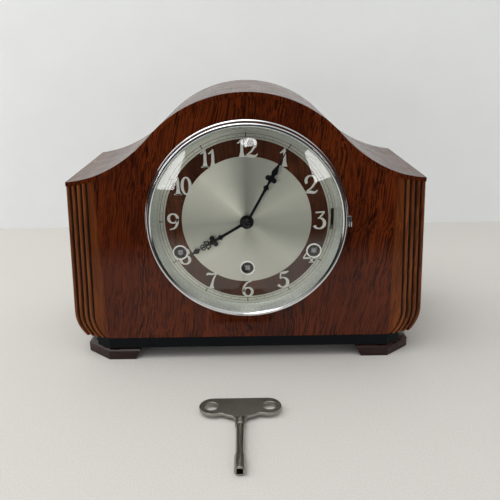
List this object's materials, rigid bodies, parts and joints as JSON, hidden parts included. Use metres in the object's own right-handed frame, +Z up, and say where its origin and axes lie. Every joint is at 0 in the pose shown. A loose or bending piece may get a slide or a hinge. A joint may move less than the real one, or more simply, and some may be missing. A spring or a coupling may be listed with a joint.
{
  "type": "mantel clock",
  "caption": "Tambour mantel clock with reeded corners, domed glass in a hinged bezel, silvered dial with a wood numeral ring, pendulum chiming works and a winding key.",
  "frame": {"origin": "middle of the whole set's footprint, with the key lying in front of the clock, on the surface that it stands on", "axes": "+X to the right of someone facing the dial, the dial faces -Y, +Z up"},
  "size_m": [0.2672, 0.2678, 0.2018],
  "materials": {
    "panel_veneer": "gloss lacquered dark veneer",
    "top_veneer": "gloss lacquered bent sheet",
    "reed_wood": "lacquered mid-brown wood",
    "side_veneer": "gloss lacquered veneer",
    "back_board": "stained board",
    "inner_board": "bare wood",
    "plinth_black": "black satin lacquer",
    "foot_wood": "gloss dark wood",
    "hinge_brass": "drawn brass",
    "dial_silver": "silvered and brushed",
    "ring_veneer": "satin veneer",
    "bezel_chrome": "polished",
    "crystal": "clear domed glass",
    "hand_black": "gloss black",
    "works_brass": "brushed brass",
    "works_steel": "polished steel",
    "rod_steel": "drawn steel",
    "block_iron": "black painted casting",
    "key_steel": "dark nickel-plated steel"
  },
  "bodies": {
    "case": {"front_panel": "panel_veneer", "top_sheet": "top_veneer", "reeded_moulding_left": "reed_wood", "reeded_moulding_right": "reed_wood", "side_panel_left": "side_veneer", "side_panel_right": "side_veneer", "back_panel": "back_board", "door_stops": "inner_board", "floor_board": "inner_board", "plinth": "plinth_black", "front_feet": "foot_wood", "back_feet": "foot_wood", "case_hinge_leaves": "hinge_brass", "bezel_hinge": "bezel_chrome", "dial_plate": "dial_silver", "wood_ring": "ring_veneer", "front_plate": "works_brass", "back_plate": "works_brass", "pillars": "works_brass", "movement_brackets": "works_steel", "chime_support": "works_brass", "chime_rods": "rod_steel", "rod_block": "block_iron"},
    "bezel": {"bezel_ring": "bezel_chrome", "dial_glass": "crystal"},
    "door": {"back_door": "back_board", "door_hinge_leaves": "hinge_brass"},
    "button": {"turn_button": "hinge_brass"},
    "silence_lever": {"chime_silent_lever": "works_steel"},
    "minute": {"cannon_pinion": "works_steel", "minute_hand": "hand_black", "hand_nut": "works_steel"},
    "minute_wheel_set": {"minute_wheel": "works_brass"},
    "hour": {"hour_wheel": "works_brass", "hour_hand": "hand_black"},
    "going_mainspring": {"going_barrel": "works_brass"},
    "strike_mainspring": {"strike_barrel": "works_brass"},
    "chime_mainspring": {"chime_barrel": "works_brass"},
    "going_winder": {"going_winding_arbor": "works_steel"},
    "strike_winder": {"strike_winding_arbor": "works_steel"},
    "chime_winder": {"chime_winding_arbor": "works_steel"},
    "going_pawl": {"going_click": "works_steel"},
    "strike_pawl": {"strike_click": "works_steel"},
    "chime_pawl": {"chime_click": "works_steel"},
    "centre": {"centre_arbor": "works_brass"},
    "third": {"third_wheel": "works_brass"},
    "escape": {"escape_wheel": "works_brass"},
    "anchor": {"pallets": "works_steel"},
    "pendulum": {"pendulum_rod": "works_steel", "pendulum_bob": "works_brass"},
    "pin_drum": {"chime_drum": "works_brass"},
    "strike_second": {"strike_second_arbor": "works_steel"},
    "key": {"winding_key": "key_steel"},
    "hammer1": {"hammer_1": "works_brass"},
    "hammer2": {"hammer_2": "works_brass"},
    "hammer3": {"hammer_3": "works_brass"},
    "hammer4": {"hammer_4": "works_brass"}
  },
  "joints": [
    {"name": "bezel_hinge_turn", "type": "hinge", "parent": "case", "child": "bezel", "pos_m": [0.0748, 0.00015, 0.1106], "axis": [0, 0, 1], "range_deg": [0, 105]},
    {"name": "back_door_turn", "type": "hinge", "parent": "case", "child": "door", "pos_m": [-0.06225, 0.13215, 0.1106], "axis": [0, 0, 1], "range_deg": [0, 110]},
    {"name": "turn_button_turn", "type": "hinge", "parent": "case", "child": "button", "pos_m": [0.07, 0.06605, 0.1106], "axis": [0, -1, 0], "range_deg": [0, 90]},
    {"name": "chime_silent_turn", "type": "hinge", "parent": "case", "child": "silence_lever", "pos_m": [0.014, 0.06605, 0.1118], "axis": [0, -1, 0], "range_deg": [0, 14]},
    {"name": "minute_hand_turn", "type": "hinge", "parent": "case", "child": "minute", "pos_m": [0, 0.06605, 0.1106], "axis": [0, 1, 0], "continuous": true},
    {"name": "minute_wheel_turn", "type": "hinge", "parent": "case", "child": "minute_wheel_set", "pos_m": [-0.01039, 0.06605, 0.1166], "axis": [0, 1, 0], "continuous": true},
    {"name": "hour_hand_turn", "type": "hinge", "parent": "case", "child": "hour", "pos_m": [0, 0.06605, 0.1106], "axis": [0, 1, 0], "continuous": true},
    {"name": "escape_wheel_turn", "type": "hinge", "parent": "case", "child": "escape", "pos_m": [0, 0.06605, 0.1326], "axis": [0, 1, 0], "continuous": true},
    {"name": "third_wheel_turn", "type": "hinge", "parent": "case", "child": "third", "pos_m": [0.00805, 0.06605, 0.1229], "axis": [0, 1, 0], "continuous": true},
    {"name": "centre_wheel_turn", "type": "hinge", "parent": "case", "child": "centre", "pos_m": [0, 0.06605, 0.1106], "axis": [0, 1, 0], "continuous": true},
    {"name": "going_barrel_turn", "type": "hinge", "parent": "case", "child": "going_mainspring", "pos_m": [0, 0.06605, 0.0741], "axis": [0, 1, 0], "continuous": true},
    {"name": "strike_barrel_turn", "type": "hinge", "parent": "case", "child": "strike_mainspring", "pos_m": [-0.04924, 0.06605, 0.08701], "axis": [0, 1, 0], "continuous": true},
    {"name": "strike_second_turn", "type": "hinge", "parent": "case", "child": "strike_second", "pos_m": [-0.05341, 0.06605, 0.11064], "axis": [0, 1, 0], "continuous": true},
    {"name": "chime_barrel_turn", "type": "hinge", "parent": "case", "child": "chime_mainspring", "pos_m": [0.04924, 0.06605, 0.08701], "axis": [0, 1, 0], "continuous": true},
    {"name": "chime_drum_turn", "type": "hinge", "parent": "case", "child": "pin_drum", "pos_m": [0.05341, 0.06605, 0.11064], "axis": [0, 1, 0], "continuous": true},
    {"name": "going_winding_turn", "type": "hinge", "parent": "case", "child": "going_winder", "pos_m": [0, 0.06605, 0.0741], "axis": [0, 1, 0], "continuous": true},
    {"name": "strike_winding_turn", "type": "hinge", "parent": "case", "child": "strike_winder", "pos_m": [-0.04924, 0.06605, 0.08701], "axis": [0, 1, 0], "continuous": true},
    {"name": "chime_winding_turn", "type": "hinge", "parent": "case", "child": "chime_winder", "pos_m": [0.04924, 0.06605, 0.08701], "axis": [0, 1, 0], "continuous": true},
    {"name": "going_click_turn", "type": "hinge", "parent": "case", "child": "going_pawl", "pos_m": [0.0085, 0.06605, 0.0838], "axis": [0, 1, 0], "range_deg": [0, 12]},
    {"name": "strike_click_turn", "type": "hinge", "parent": "case", "child": "strike_pawl", "pos_m": [-0.05774, 0.06605, 0.09671], "axis": [0, -1, 0], "range_deg": [0, 12]},
    {"name": "chime_click_turn", "type": "hinge", "parent": "case", "child": "chime_pawl", "pos_m": [0.05774, 0.06605, 0.09671], "axis": [0, 1, 0], "range_deg": [0, 12]},
    {"name": "pendulum_swing", "type": "hinge", "parent": "case", "child": "pendulum", "pos_m": [0, 0.06605, 0.1456], "axis": [0, 1, 0], "range_deg": [-4, 4]},
    {"name": "pallets_rock", "type": "hinge", "parent": "case", "child": "anchor", "pos_m": [0, 0.06605, 0.1456], "axis": [0, 1, 0], "range_deg": [-4, 4]},
    {"name": "hammer_1_lift", "type": "hinge", "parent": "case", "child": "hammer1", "pos_m": [0.061, 0.06605, 0.0726], "axis": [0, 1, 0], "range_deg": [0, 25]},
    {"name": "hammer_2_lift", "type": "hinge", "parent": "case", "child": "hammer2", "pos_m": [0.061, 0.06605, 0.0726], "axis": [0, 1, 0], "range_deg": [0, 25]},
    {"name": "hammer_3_lift", "type": "hinge", "parent": "case", "child": "hammer3", "pos_m": [0.061, 0.06605, 0.0726], "axis": [0, 1, 0], "range_deg": [0, 25]},
    {"name": "hammer_4_lift", "type": "hinge", "parent": "case", "child": "hammer4", "pos_m": [0.061, 0.06605, 0.0726], "axis": [0, 1, 0], "range_deg": [0, 25]},
    {"name": "key_lift", "type": "slide", "parent": "case", "child": "key", "axis": [0, 0, 1], "range_m": [0, 0.1]}
  ],
  "couplings": [
    {"joint": "minute_wheel_turn", "follows": "minute_hand_turn", "ratio": -0.33333},
    {"joint": "hour_hand_turn", "follows": "minute_hand_turn", "ratio": 0.083333},
    {"joint": "third_wheel_turn", "follows": "escape_wheel_turn", "ratio": -0.2},
    {"joint": "centre_wheel_turn", "follows": "escape_wheel_turn", "ratio": 0.04},
    {"joint": "going_barrel_turn", "follows": "escape_wheel_turn", "ratio": -0.0066667},
    {"joint": "chime_drum_turn", "follows": "chime_barrel_turn", "ratio": -4},
    {"joint": "strike_second_turn", "follows": "strike_barrel_turn", "ratio": -4},
    {"joint": "pallets_rock", "follows": "pendulum_swing", "ratio": 1}
  ]
}
